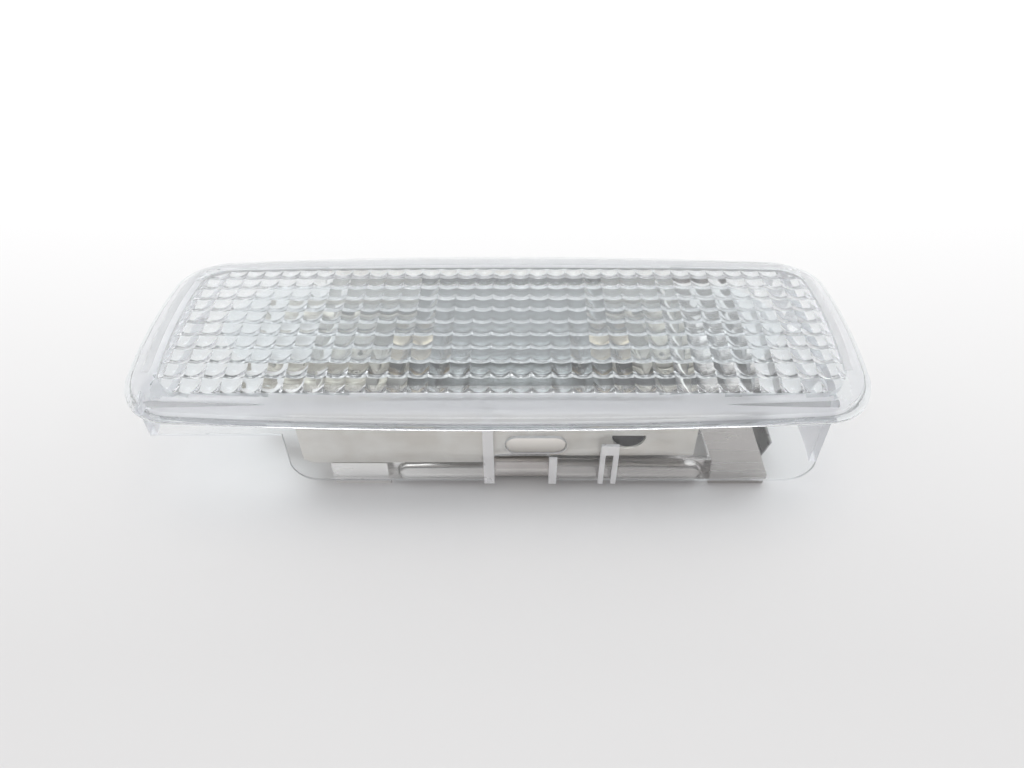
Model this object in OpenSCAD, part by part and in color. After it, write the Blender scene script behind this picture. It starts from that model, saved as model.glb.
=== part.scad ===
// Car interior lamp: a clear one-piece lens housing with pillow optics, a plated sheet-metal
// carrier with a bright reflector and a festoon bulb, and a pressed bracket with a leaf spring.
// Z is up through the lens, X runs along the lamp, and the lamp stands on its bracket feet.

/* [Lens face] */
// Overall length of the lens face
face_l = 122.2; // [118:0.1:140]
// Overall width of the lens face
face_w = 45.8; // [43:0.1:52]
// Overall height from the bracket feet to the top of the dome
lamp_h = 24.5; // [23:0.1:30]
// Corner radius of the face outline
face_corner = 9.4; // [8:0.1:10]
// How far each long side bows outward
side_bow = 1.5; // [0.5:0.1:2]
// How far each short side bows outward
end_bow = 0.4; // [0.2:0.1:1]
// Radius of the dome across the width
dome_r_y = 167; // [130:1:260]
// Radius of the dome along the length
dome_r_x = 2900; // [1500:10:5000]
// Rounding of the outer top edge
edge_r = 1.1; // [0.6:0.1:1.4]
// Height of the face from its lower lip to the top of the dome
face_h = 5.5; // [5.3:0.1:7]
// Width of the lip that hangs down round the face
lip_w = 1.5; // [1:0.1:2]
// Thickness of the clear face at its middle
face_t = 2.0; // [1.8:0.1:2.6]
// How far the sloping margin falls below the dome at the outer edge
margin_drop = 1.8; // [1.2:0.1:2]
// Width of the sloping margin along the long sides
margin_side = 5.7; // [5:0.1:6.2]
// Width of the sloping margin at the ends
margin_end = 4.6; // [4:0.1:5]

/* [Pillow optics] */
// Pitch of the pillows both ways
pillow_pitch = 3.3; // [2.5:0.1:5]
// Height of one pillow
pillow_h = 0.5; // [0.2:0.05:0.7]
// Distance of the field of pillows from the face's ends
optic_end = 5.15; // [5.1:0.05:7]
// Distance of the field of pillows from the face's long sides
optic_side = 6.4; // [6:0.05:7]
// Corner radius of the field of pillows
optic_corner = 5; // [2:0.5:8]
// How far the field lies to the right of the middle of the face
optic_x = 0.6; // [0:0.1:1]
// How far the field lies to the front of the middle of the face
optic_y = 0.7; // [0:0.1:0.8]

/* [Clear walls] */
// Wall thickness of the moulding
wall = 1.2; // [1:0.05:1.5]
// How far the face overhangs the long walls on each side
overhang = 4.2; // [3.8:0.05:4.4]
// Distance of the skirt's end wall from the left end of the face
skirt_inset = 4.1; // [4:0.1:5]
// Height of the lower edge of the skirt above the feet
skirt_z = 13.6; // [12:0.1:15]
// How far the deep walls run out past the carrier at the left
box_lead = 2.4; // [2:0.1:4]
// Distance of the right-hand end wall from the right end of the face
box_inset = 7.2; // [7:0.1:9]
// Height of the lower edge of the deep walls above the feet
box_z = 2.2; // [1.6:0.1:3]
// Corner radius of the lower edge of the deep walls
box_corner = 4.5; // [2:0.1:6]
// Left edge of the release notch in each long wall
notch_x = -0.6; // [-4:0.1:2]
// Width of the release notch
notch_w = 9.3; // [6:0.1:10]
// Height of the top of the notch above the feet
notch_z = 8.6; // [7:0.1:10]
// Width of the slim ribs on the long walls
rib_w = 0.9; // [0.7:0.05:1.2]
// Width of the window in the right-hand end wall for the panel's catch
catch_w = 18; // [12:0.5:24]
// Height of the top of the catch window above the feet
catch_z = 15; // [12:0.1:16]

/* [Carrier] */
// Thickness of the carrier sheet
sheet_t = 0.5; // [0.4:0.05:0.6]
// How far the carrier runs out past its right-hand rivet
carrier_end = 3.85; // [3.6:0.05:5]
// Clearance between sheet metal and the clear walls
fit_gap = 0.2; // [0.15:0.05:0.3]
// Height of the underside of the carrier floor above the feet
floor_z = 7.1; // [6.8:0.1:7.6]
// Inside radius of the carrier's folded edges
fold_r = 1.2; // [0.6:0.1:1.5]
// Height of the top edge of the carrier walls above the feet
carrier_top = 18; // [17:0.1:18.5]
// How far the left half of the front wall hangs below the floor
apron_drop = 0.7; // [0.5:0.1:1.8]

/* [Reflector] */
// Focal length of the reflector's parabola
focus = 6.5; // [6.2:0.1:7]
// Thickness of the reflector sheet
mirror_t = 0.4; // [0.3:0.05:0.5]
// How far the reflector's lowest line stops short of each cap of the bulb
mirror_inset = 2.15; // [1.5:0.05:4]
// Flare of the reflector's end walls from upright
mirror_flare = 22; // [10:1:26]

/* [Bulb] */
// Overall length of the festoon bulb
bulb_l = 43.7; // [43:0.1:44]
// Diameter of the bulb's glass
glass_d = 10.5; // [9.5:0.1:11]
// Diameter of the bulb's caps
cap_d = 8.4; // [8:0.1:8.6]
// Length of one cap with its pointed end
cap_l = 8; // [7:0.1:8.5]
// How far the bulb lies to the right of the middle of the face
bulb_x = 2.1; // [0:0.1:3]
// Gap under the bulb's caps
bulb_gap = 0.1; // [0.05:0.05:0.3]

/* [Contacts] */
// Thickness of the contact strips
strip_t = 0.4; // [0.3:0.05:0.5]
// Width of the contact strips
strip_w = 8; // [6:0.1:9]
// Hole in a contact that the bulb's point sits in
point_hole_d = 4.2; // [3.6:0.1:4.6]
// Width of a blade terminal
blade_w = 6.3; // [4.8:0.1:6.3]
// Thickness of a blade terminal
blade_t = 0.8; // [0.5:0.1:0.8]
// How far the blades stand out of the carrier
blade_out = 9; // [7:0.1:11]
// Thickness of the insulating sheet
insulator_t = 0.5; // [0.4:0.05:0.6]
// Diameter of the eyelet rivets
rivet_d = 2.5; // [2:0.1:3]
// Distance of each rivet from the bulb's pointed end
rivet_out = 5.2; // [4.8:0.1:5.4]
// Width of the live strip under the reflector's rear wing
live_strip_w = 4; // [3:0.1:4.4]
// Distance of the live strip from the middle of the lamp
live_y = 13; // [12.8:0.1:13.2]
// Distance of the earth blade from the middle of the lamp
earth_y = -4; // [-5:0.1:-3]

/* [Bracket and leaf spring] */
// Thickness of the bracket sheet
bracket_t = 0.5; // [0.4:0.05:0.6]
// Distance of the bracket's left end from the carrier's left end
bracket_inset = 4.4; // [4:0.1:6]
// Room for the panel's catch between the bracket and the end wall
catch_room = 6.1; // [5.5:0.1:7]
// Length of one foot along the lamp
foot_l = 9.6; // [8:0.1:11]
// How far the middle of the bracket stands above the feet
foot_step = 0.8; // [0.6:0.1:1.2]
// Diameter of the rolled bead along the bracket's long edges
bead_d = 4.3; // [3.6:0.1:4.4]
// Height of the corner flanges beside the leaf spring
flange_h = 14.8; // [12:0.1:16]
// Thickness of the leaf spring
leaf_t = 0.4; // [0.3:0.05:0.5]
// Width of the leaf spring
leaf_w = 26; // [16:0.5:30]
// Height of the leaf spring's knee above the feet
knee_z = 7; // [6.5:0.1:9]

/* [Hidden] */
$fn = 48;
eps = 0.01;
big = 400;

// How far one part of the moulding runs into another that it is one piece with
sink = 0.2;

// Points along each arc of an outline
corner_steps = 9;
side_steps = 10;
face_z0 = lamp_h - face_h;
ceiling_z = lamp_h - face_t;
optic_l = face_l - 2 * optic_end;
optic_w = face_w - 2 * optic_side;
box_y = face_w / 2 - overhang;
inner_y = box_y - wall;
metal_y = inner_y - fit_gap;
carrier_x = bulb_x + bulb_l / 2 + rivet_out + carrier_end;
carrier_l = 2 * carrier_x;
mirror_l = bulb_l - 2 * cap_l - 2 * mirror_inset;
skirt_x = -face_l / 2 + skirt_inset;
box_x0 = -carrier_x - box_lead;
box_x1 = face_l / 2 - box_inset;
bracket_x0 = -carrier_x + bracket_inset;
bracket_x1 = box_x1 - wall - catch_room;
floor_top = floor_z + sheet_t;
bulb_z = floor_top + insulator_t + bulb_gap + cap_d / 2;
pillow_r = (pow(pillow_pitch / 2, 2) + pow(pillow_h, 2)) / (2 * pillow_h);
mirror_z = bulb_z - focus;
mirror_rim = metal_y - sheet_t - fit_gap - 1.3 * mirror_t;
mirror_h = mirror_rim * mirror_rim / (4 * focus);

// Height of the dome over a point of the face
function dome(p) = lamp_h - p.x * p.x / (2 * dome_r_x) - p.y * p.y / (2 * dome_r_y);
function dome_drop(y) = y * y / (2 * dome_r_y);

// A rounded rectangle whose sides bow outward, as a list of points, counter-clockwise
function bow_at(t, bow) = bow * (1 - t * t);
function corner_points(l, w, r, bx, by, q) =
    let (cx = l / 2 - bx - r, cy = w / 2 - by - r)
    [for (i = [0 : corner_steps]) let (a = 90 * (q + i / corner_steps))
        [(q == 0 || q == 3 ? cx : -cx) + r * cos(a), (q < 2 ? cy : -cy) + r * sin(a)]];
function long_side(l, w, r, bx, by, s) =
    let (cx = l / 2 - bx - r)
    [for (i = [1 : side_steps - 1]) let (t = 1 - 2 * i / side_steps)
        [s * t * cx, s * (w / 2 - by + bow_at(t, by))]];
function short_side(l, w, r, bx, by, s) =
    let (cy = w / 2 - by - r)
    [for (i = [1 : side_steps - 1]) let (t = 1 - 2 * i / side_steps)
        [-s * (l / 2 - bx + bow_at(t, bx)), s * t * cy]];
function bowed(l, w, r, bx, by) = concat(
    corner_points(l, w, r, bx, by, 0), long_side(l, w, r, bx, by, 1),
    corner_points(l, w, r, bx, by, 1), short_side(l, w, r, bx, by, 1),
    corner_points(l, w, r, bx, by, 2), long_side(l, w, r, bx, by, -1),
    corner_points(l, w, r, bx, by, 3), short_side(l, w, r, bx, by, -1));
function face_outline(inset) = bowed(face_l - 2 * inset, face_w - 2 * inset,
    face_corner - inset, end_bow, side_bow);
function margin_outline() = bowed(face_l - 2 * margin_end, face_w - 2 * margin_side,
    face_corner - margin_end, end_bow, side_bow);
function scaled(points, s) = [for (p = points) s * p];

// Solid skinned over rings that all have as many points, closed by a peak
module skin(rings, peak) {
    n = len(rings[0]);
    m = len(rings);
    points = concat([for (ring = rings) each ring], [[0, 0, peak]]);
    sides = [for (j = [0 : m - 2]) for (i = [0 : n - 1])
        each [[j * n + i, (j + 1) * n + i, j * n + (i + 1) % n],
            [j * n + (i + 1) % n, (j + 1) * n + i, (j + 1) * n + (i + 1) % n]]];
    top = [for (i = [0 : n - 1]) [(m - 1) * n + i, m * n, (m - 1) * n + (i + 1) % n]];
    polyhedron(points, concat([[for (i = [0 : n - 1]) i]], sides, top), convexity = 6);
}

// Clear cap of the lamp: up the side, round the edge, up the sloping margin and over the dome
edge_steps = 5;
dome_rings = [1, 0.84, 0.62, 0.36];
function edge_ring(k) = let (a = 90 * k / edge_steps)
    [for (p = face_outline(edge_r * (1 - cos(a))))
        [p.x, p.y, dome(p) - margin_drop - edge_r * (1 - sin(a))]];
function dome_ring(s) = [for (p = scaled(margin_outline(), s)) [p.x, p.y, dome(p)]];
module cap_solid(z0) {
    skin(concat([[for (p = face_outline(0)) [p.x, p.y, z0]]],
        [for (k = [0 : edge_steps]) edge_ring(k)], [for (s = dome_rings) dome_ring(s)]), lamp_h);
}

// Hollow under the cap, which keeps the cap's thickness even across the width
function ceiling(p) = ceiling_z - dome_drop(p.y);
function ceiling_ring(s) = [for (p = scaled(margin_outline(), s)) [p.x, p.y, ceiling(p)]];
module cap_hollow() {
    skin(concat([[for (p = face_outline(lip_w)) [p.x, p.y, face_z0 - 1]],
        [for (p = face_outline(lip_w)) [p.x, p.y, ceiling(p) - margin_drop]]],
        [for (s = dome_rings) ceiling_ring(s)]), ceiling_z);
}

// Pillow optics under the face: each row is a bar with scallops along it and one across it
module scallop(count) {
    intersection() {
        translate([-count * pillow_pitch / 2, -pillow_h])
            square([count * pillow_pitch, pillow_h + 1]);
        union() {
            translate([-count * pillow_pitch / 2, 0]) square([count * pillow_pitch, 1]);
            for (i = [0 : count - 1])
                translate([(i - (count - 1) / 2) * pillow_pitch, pillow_r - pillow_h])
                    circle(pillow_r, $fn = 96);
        }
    }
}
module optics() {
    columns = 2 * ceil((optic_l / pillow_pitch - 1) / 2) + 1;
    rows = ceil(optic_w / pillow_pitch - eps);
    field = bowed(optic_l, optic_w, optic_corner, end_bow, side_bow / 3);
    intersection() {
        translate([optic_x, -optic_y, 0])
            translate([0, 0, ceiling_z - 3]) linear_extrude(3 + sink) polygon(field);
        union() for (i = [0 : rows - 1]) {
            y = -optic_y - optic_w / 2 + (i + 0.5) * pillow_pitch;
            translate([optic_x, y, ceiling_z - sink / 2 - dome_drop(y)]) {
                rotate([90, 0, 0]) linear_extrude(pillow_pitch, center = true) scallop(columns);
                rotate([90, 0, 90]) linear_extrude(columns * pillow_pitch, center = true)
                    scallop(1);
            }
        }
    }
}

// One long wall seen from the front: a shallow skirt at the left and a deep wall with rounded
// lower corners, running up into the face
module wall_profile() {
    top = ceiling_z + sink;
    translate([skirt_x, skirt_z]) square([box_x0 + box_corner - skirt_x, top - skirt_z]);
    translate([box_x0, box_z + box_corner])
        square([box_x1 - box_x0, top - box_z - box_corner]);
    translate([box_x0 + box_corner, box_z])
        square([box_x1 - box_x0 - 2 * box_corner, box_corner + eps]);
    for (x = [box_x0 + box_corner, box_x1 - box_corner])
        translate([x, box_z + box_corner]) circle(box_corner);
}
module release_notch() {
    translate([notch_x, 0]) square([notch_w, notch_z]);
}
module capsule_outline(l, w) {
    translate([pad_x, pad_z]) {
        square([l - w, w], center = true);
        for (s = [-1, 1]) translate([s * (l - w) / 2, 0]) circle(d = w);
    }
}
module long_wall(side) {
    translate([0, side * (box_y - wall / 2), 0])
        rotate([90, 0, 0]) linear_extrude(wall, center = true) difference() {
            wall_profile();
            release_notch();
            if (side < 0) capsule_outline(pad_l + 2 * pad_gap, pad_w + 2 * pad_gap);
        }
}
module end_wall(x, z0) {
    translate([x, -box_y, z0]) cube([wall, 2 * box_y, ceiling_z + sink - z0]);
}
rib_out = 0.6;
module rib(x, w, z0, z1, side) {
    translate([x, side > 0 ? box_y - eps : -box_y - rib_out + eps, z0])
        cube([w, rib_out, z1 - z0]);
}

// One-piece clear moulding: face, optics, skirt, deep walls, ribs and stops over the carrier
pair_x = 17.2;
pair_gap = 2.2;
pair_z = 9.7;
bridge_z = 11.7;
stop_x = 27;
stop_l = 2;
stop_w = 1.6;
module lens_housing() {
    color([0.86, 0.9, 0.92, 0.5]) {
        difference() {
            cap_solid(face_z0);
            cap_hollow();
        }
        optics();
        intersection() {
            cap_solid(-1);
            clear_walls();
        }
    }
}
module clear_walls() {
    for (side = [-1, 1]) {
        long_wall(side);
        rib(notch_x - 2 * rib_w, 2 * rib_w, box_z, ceiling_z, side);
        rib(notch_x + notch_w, 1.5 * rib_w, box_z, notch_z, side);
        for (x = [pair_x, pair_x + pair_gap]) rib(x, rib_w, box_z, pair_z, side);
        rib(pair_x, pair_gap + rib_w, pair_z - sink, bridge_z, side);
        for (x = [-stop_x, stop_x])
            translate([x - stop_l / 2, side * (inner_y - stop_w / 2 + sink) - stop_w / 2,
                carrier_top]) cube([stop_l, stop_w, ceiling_z + sink - carrier_top]);
    }
    end_wall(skirt_x, skirt_z);
    difference() {
        end_wall(box_x1 - wall, box_z + box_corner);
        translate([box_x1 - 2 * wall, -catch_w / 2, 0]) cube([3 * wall, catch_w, catch_z]);
    }
}

// Plated sheet carrier: floor, folded walls, reflector window, latch pad and terminal gaps
pad_x = 6.4;
pad_l = 9.8;
pad_w = 3.4;
pad_z = 11.2;
pad_gap = 0.25;
pad_back = 0.3;
hook_hole_x = 21.8;
hook_hole_z = 11.9;
end_h = 6;
slot_gap = 0.4;
apron_corner = 2;
module carrier_section() {
    r = fold_r + sheet_t;
    translate([-metal_y, floor_z]) difference() {
        union() {
            translate([r, 0]) square([2 * metal_y - 2 * r, sheet_t]);
            for (x = [0, 2 * metal_y - sheet_t])
                translate([x, r]) square([sheet_t, carrier_top - floor_z - r]);
            translate([r, r]) intersection() {
                circle(r);
                translate([-r, -r]) square(r);
            }
            translate([2 * metal_y - r, r]) intersection() {
                circle(r);
                translate([0, -r]) square(r);
            }
        }
        translate([r, r]) circle(fold_r);
        translate([2 * metal_y - r, r]) circle(fold_r);
    }
}
function mirror_half(z) = sqrt(4 * focus * (z - mirror_z));
window_gap = 0.6;
window_y = mirror_half(floor_top + mirror_t) + window_gap;
window_x = mirror_l / 2 + (floor_top - mirror_z) * tan(mirror_flare) + mirror_t + window_gap;
rivet_left_x = bulb_x - bulb_l / 2 - rivet_out;
rivet_right_x = bulb_x + bulb_l / 2 + rivet_out;
module carrier() {
    apron_x = notch_x - 2;
    apron_l = carrier_x + apron_x;
    fold = fold_r + sheet_t;
    color([0.78, 0.77, 0.72]) {
        difference() {
            union() {
                rotate([90, 0, 90]) linear_extrude(carrier_l, center = true) carrier_section();
                for (x = [-carrier_x, carrier_x - sheet_t])
                    translate([x, -metal_y + fold, floor_z])
                        cube([sheet_t, 2 * (metal_y - fold), end_h]);
                latch_pad();
            }
            latch_pocket();
            translate([bulb_x, 0, floor_z])
                cube([2 * window_x, 2 * window_y, 4 * sheet_t], center = true);
            translate([-carrier_x - 1, -metal_y - 1, floor_z - 1])
                cube([apron_l + 1, 1 + fold, 1 + fold]);
            for (y = [earth_y, live_y])
                translate([-carrier_x - 1, y - blade_w / 2 - slot_gap, floor_top])
                    cube([1 + sheet_t + 1, blade_w + 2 * slot_gap, end_h]);
            translate([rivet_right_x, 0, 0]) cylinder(d = collar_d + 2 * collar_gap, h = big);
            translate([rivet_left_x, 0, 0]) cylinder(d = rivet_d, h = big);
            translate([hook_hole_x, -metal_y + sheet_t / 2, hook_hole_z]) rotate([90, 0, 0])
                linear_extrude(2, center = true) hook_hole();
        }
        translate([0, -metal_y + sheet_t, 0]) rotate([90, 0, 0]) linear_extrude(sheet_t)
            apron(apron_l, apron_drop + fold + sink);
        for (x = [-carrier_x, apron_x - tab_l])
            translate([x, -metal_y + eps, floor_z])
                cube([tab_l, fold + sink, sheet_t]);
    }
}
tab_l = 6;
module apron(l, h) {
    z = floor_z - apron_drop;
    translate([-carrier_x, z + apron_corner]) square([l, h - apron_corner]);
    translate([-carrier_x + apron_corner, z]) square([l - apron_corner, h]);
    translate([-carrier_x + apron_corner, z + apron_corner]) circle(apron_corner);
}
hook_r = 2.8;
hook_low = 2.1;
module hook_hole() {
    intersection() {
        translate([0, hook_r - hook_low]) circle(hook_r);
        translate([-hook_r, -hook_r]) square([2 * hook_r, hook_r + 1]);
    }
}
pad_face = box_y - pad_back;
module latch_pad() {
    translate([0, -metal_y + sheet_t / 2, 0]) rotate([90, 0, 0])
        linear_extrude(pad_face - metal_y + sheet_t / 2) capsule_outline(pad_l, pad_w);
}
module latch_pocket() {
    translate([0, -metal_y + 2 * sheet_t, 0]) rotate([90, 0, 0])
        linear_extrude(pad_face - metal_y + sheet_t)
            capsule_outline(pad_l - 2 * sheet_t, pad_w - 2 * sheet_t);
}

// Bright parabolic trough with flared end walls that the bulb's caps pass through
module trough_solid(t, extra) {
    rim = mirror_z + mirror_h;
    low = mirror_l / 2 + t;
    high = low + mirror_h * tan(mirror_flare);
    intersection() {
        rotate([90, 0, 90]) linear_extrude(big, center = true) offset_parabola(t, extra);
        rotate([90, 0, 0]) linear_extrude(big, center = true)
            polygon([[-low, mirror_z - t], [low, mirror_z - t],
                [high + extra * tan(mirror_flare), rim + extra],
                [-high - extra * tan(mirror_flare), rim + extra]]);
    }
}
module offset_parabola(t, extra) {
    rim = mirror_z + mirror_h;
    half = mirror_half(rim);
    slope = half / (2 * focus);
    stretch = 1 + t * sqrt(1 + slope * slope) / slope / half;
    polygon(concat([for (i = [-10 : 10]) let (y = half * i / 10)
        [y * stretch, mirror_z - t + y * y / (4 * focus) * (1 + t / mirror_h)]],
        extra > 0 ? [[half * stretch, rim + extra], [-half * stretch, rim + extra]] : []));
}
slot_r = glass_d / 2 + 0.3;
slot_l = 8;
module reflector() {
    color([0.86, 0.87, 0.88])
    translate([bulb_x, 0, 0]) difference() {
        trough_solid(mirror_t, 0);
        trough_solid(0, 1);
        for (s = [-1, 1]) translate([s * (mirror_l / 2 + slot_l / 4), 0, bulb_z]) {
            rotate([0, 90, 0]) cylinder(r = slot_r, h = slot_l, center = true);
            translate([-slot_l / 2, -slot_r, 0]) cube([slot_l, 2 * slot_r, mirror_h]);
        }
    }
}

// Festoon bulb: glass tube with rounded shoulders, two pointed caps, filament and its leads
glass_t = 0.6;
neck_gap = 0.6;
neck_d = cap_d - 2 * neck_gap;
tube_half = bulb_l / 2 - cap_l;
module along_bulb() {
    translate([bulb_x, 0, bulb_z]) rotate([0, 90, 0]) children();
}
shoulder = 3.4;
neck_l = 2;
module glass_outline(inset) {
    r = glass_d / 2 - inset;
    n = neck_d / 2 - inset;
    translate([0, -tube_half + shoulder]) square([r, 2 * (tube_half - shoulder)]);
    for (s = [-1, 1]) intersection() {
        translate([0, s * (tube_half - shoulder)]) circle(r);
        translate([0, s > 0 ? 0 : -tube_half]) square([r, tube_half]);
    }
    translate([0, -tube_half - neck_l + inset]) square([n, 2 * (tube_half + neck_l - inset)]);
}
module bulb_glass() {
    color([0.93, 0.95, 0.95, 0.4]) along_bulb() rotate_extrude() difference() {
        glass_outline(0);
        glass_outline(glass_t);
    }
}
cap_wall = 0.3;
point_l = 2.6;
point_d = 3;
module bulb_cap(side) {
    color([0.72, 0.71, 0.68]) along_bulb() mirror([0, 0, side > 0 ? 0 : 1])
        translate([0, 0, tube_half]) rotate_extrude() difference() {
            polygon([[0, 0], [cap_d / 2, 0], [cap_d / 2, cap_l - point_l],
                [point_d / 2, cap_l], [0, cap_l]]);
            polygon([[0, -1], [cap_d / 2 - cap_wall, -1],
                [cap_d / 2 - cap_wall, cap_l - point_l - 0.2],
                [point_d / 2, cap_l - cap_wall - 0.4], [0, cap_l - cap_wall - 0.4]]);
        }
}
module bulb_cap_left() {
    bulb_cap(-1);
}
module bulb_cap_right() {
    bulb_cap(1);
}
coil_share = 0.505;
coil_half = coil_share * tube_half;
neck_in = 1.2;
coil_d = 1;
lead_d = 0.5;
module filament() {
    color([0.4, 0.4, 0.42]) along_bulb() cylinder(d = coil_d, h = 2 * coil_half, center = true);
}
module filament_leads() {
    color([0.62, 0.6, 0.56]) along_bulb() for (s = [-1, 1])
        translate([0, 0, s > 0 ? coil_half : -tube_half - neck_in])
            cylinder(d = lead_d, h = tube_half + neck_in - coil_half, $fn = 24);
}

// Springy contact strip: a riveted foot, an upright leaf with a hole for the bulb's point,
// and a top lip that leans out to guide the bulb in
seat_gap = 0.05;
leaf_back = (point_hole_d / 2 - seat_gap - point_d / 2) * point_l / (cap_d / 2 - point_d / 2);
strip_end = 2.8;
leaf_above = 4.6;
contact_top = bulb_z + leaf_above;
guide_l = 2.4;
lip_lean = 32;
module contact(side, base) {
    x0 = bulb_l / 2 - leaf_back;
    x1 = bulb_l / 2 + rivet_out + strip_end;
    color([0.76, 0.66, 0.45]) translate([bulb_x, 0, 0]) mirror([side > 0 ? 0 : 1, 0, 0])
        difference() {
            rotate([90, 0, 0]) linear_extrude(strip_w, center = true) union() {
                translate([x0, base]) square([x1 - x0, strip_t]);
                translate([x0, base]) square([strip_t, contact_top - base]);
                translate([x0, contact_top - 0.1]) rotate([0, 0, -lip_lean])
                    square([strip_t, guide_l]);
            }
            translate([x0 - strip_t, 0, bulb_z]) rotate([0, 90, 0])
                cylinder(d = point_hole_d, h = 3 * strip_t);
            translate([x1 - strip_end, 0, base - strip_t]) cylinder(d = rivet_d, h = 3 * strip_t);
        }
}
module contact_left() {
    contact(-1, floor_top);
}
module contact_right() {
    contact(1, floor_top + insulator_t);
}

// Brass blade terminals: earth runs straight out of the left end, live runs back under the
// reflector's rear wing from the right-hand contact
earth_z = floor_top + strip_t;
live_z = floor_top + insulator_t + strip_t;
blade_end = -carrier_x - blade_out;
blade_in = 3;
blade_root = -carrier_x + blade_in;
blade_corner = 1.2;
dimple_x = 3.4;
dimple_d = 1.7;
module blade_tip(y, z) {
    l = blade_root - blade_end;
    translate([blade_end, y - blade_w / 2, z]) difference() {
        linear_extrude(blade_t) polygon([[0, blade_corner], [blade_corner, 0], [l, 0],
            [l, blade_w], [blade_corner, blade_w], [0, blade_w - blade_corner]]);
        translate([dimple_x, blade_w / 2, -blade_t]) cylinder(d = dimple_d, h = 3 * blade_t);
    }
}
module terminal_left() {
    color([0.8, 0.7, 0.42]) {
        blade_tip(earth_y, earth_z);
        difference() {
            translate([blade_root - eps, earth_y - blade_w / 2, earth_z])
                cube([rivet_left_x + strip_end - blade_root, blade_w / 2 - earth_y + strip_end,
                    blade_t]);
            translate([rivet_left_x, 0, 0]) cylinder(d = rivet_d, h = big);
        }
    }
}
module terminal_right() {
    color([0.8, 0.7, 0.42]) {
        blade_tip(live_y, live_z);
        difference() {
            union() {
                translate([blade_root - eps, live_y - live_strip_w / 2, live_z])
                    cube([rivet_right_x + strip_end - blade_root, live_strip_w, blade_t]);
                translate([rivet_right_x - strip_end, -strip_end, live_z])
                    cube([2 * strip_end, live_y + live_strip_w / 2 + strip_end, blade_t]);
            }
            translate([rivet_right_x, 0, 0]) cylinder(d = rivet_d, h = big);
        }
    }
}

// Black insulating sheet under the live contact and the live strip, with an upturned lip at
// the front that closes the hole in the carrier's wall
lip_l = 9.5;
lip_h = 5.6;
strip_margin = 1;
module insulator() {
    x0 = bulb_x + window_x + window_gap;
    x1 = carrier_x - sheet_t - fit_gap;
    y0 = -metal_y + fold_r + sheet_t + fit_gap;
    y1 = live_y + live_strip_w / 2;
    side = live_strip_w / 2 + strip_margin;
    color([0.13, 0.13, 0.14]) difference() {
        union() {
            translate([-x1, live_y - side, floor_top])
                cube([2 * x1, y1 - live_y + side, insulator_t]);
            translate([x0, y0, floor_top]) cube([x1 - x0, y1 - y0, insulator_t]);
            translate([hook_hole_x - lip_l / 2, y0, floor_top]) cube([lip_l, insulator_t, lip_h]);
        }
        translate([rivet_right_x, 0, 0]) cylinder(d = rivet_d, h = big);
    }
}
washer_h = 0.8;
washer_d = rivet_d + 4.4;
collar_d = rivet_d + 2.2;
collar_gap = 0.1;
module insulator_washer() {
    color([0.13, 0.13, 0.14]) translate([rivet_right_x, 0, floor_z - washer_h])
        difference() {
            union() {
                cylinder(d = washer_d, h = washer_h);
                cylinder(d = collar_d, h = washer_h + sheet_t);
            }
            cylinder(d = rivet_d, h = big, center = true);
        }
}

// Brass eyelet rivets, one at each contact
eyelet_h = 0.5;
eyelet_d = rivet_d + 1.8;
eyelet_tip_d = rivet_d + 1;
eyelet_bore = rivet_d - 1;
module eyelet(x, low, high) {
    translate([x, 0, 0]) difference() {
        union() {
            translate([0, 0, low]) cylinder(d = rivet_d, h = high - low);
            translate([0, 0, high]) cylinder(d1 = eyelet_d, d2 = eyelet_tip_d, h = eyelet_h);
            translate([0, 0, low - eyelet_h])
                cylinder(d1 = eyelet_tip_d, d2 = eyelet_d, h = eyelet_h);
        }
        cylinder(d = eyelet_bore, h = big, center = true);
    }
}
module contact_rivets() {
    color([0.74, 0.68, 0.5]) {
        eyelet(rivet_left_x, floor_z, earth_z + blade_t);
        eyelet(rivet_right_x, floor_z - washer_h, live_z + blade_t);
    }
}

// Pressed bracket: a stepped web on two pairs of feet, rolled beads along both long edges,
// a low left end that carries the carrier, and corner flanges round the leaf spring
web_z = foot_step;
bead_r = bead_d / 2;
bead_y = metal_y - bead_r + 0.2;
bead_z = web_z + bead_r;
bead_gap = 1.3;
low_h = floor_z - apron_drop - fit_gap;
end_lip_h = 2.2;
web_window_l = 24;
web_window_w = 18;
key_y = 8;
key_w = 3;
key_h = 2;
module bead(side) {
    x0 = bracket_x0 + foot_l + bead_gap;
    x1 = bracket_x1 - foot_l - bead_gap;
    difference() {
        capsule(x0, x1, bead_r, side);
        capsule(x0, x1, bead_r - bracket_t, side);
        translate([x0 - 1, side > 0 ? -big / 2 + bead_y : -bead_y, bead_z - bead_r - 1])
            cube([x1 - x0 + 2, big / 2, bead_d + 2]);
    }
}
module capsule(x0, x1, r, side) {
    half = (x1 - x0) / 2 - bead_r;
    translate([(x0 + x1) / 2, side * bead_y, bead_z]) rotate([0, 90, 0]) rotate_extrude()
        union() {
            translate([0, -half]) square([r, 2 * half]);
            for (s = [-1, 1]) intersection() {
                translate([0, s * half]) circle(r);
                translate([0, -half - r]) square([r, 2 * half + 2 * r]);
            }
        }
}
module foot(x0) {
    translate([x0, -metal_y, 0]) cube([foot_l, 2 * metal_y, bracket_t]);
}
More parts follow.
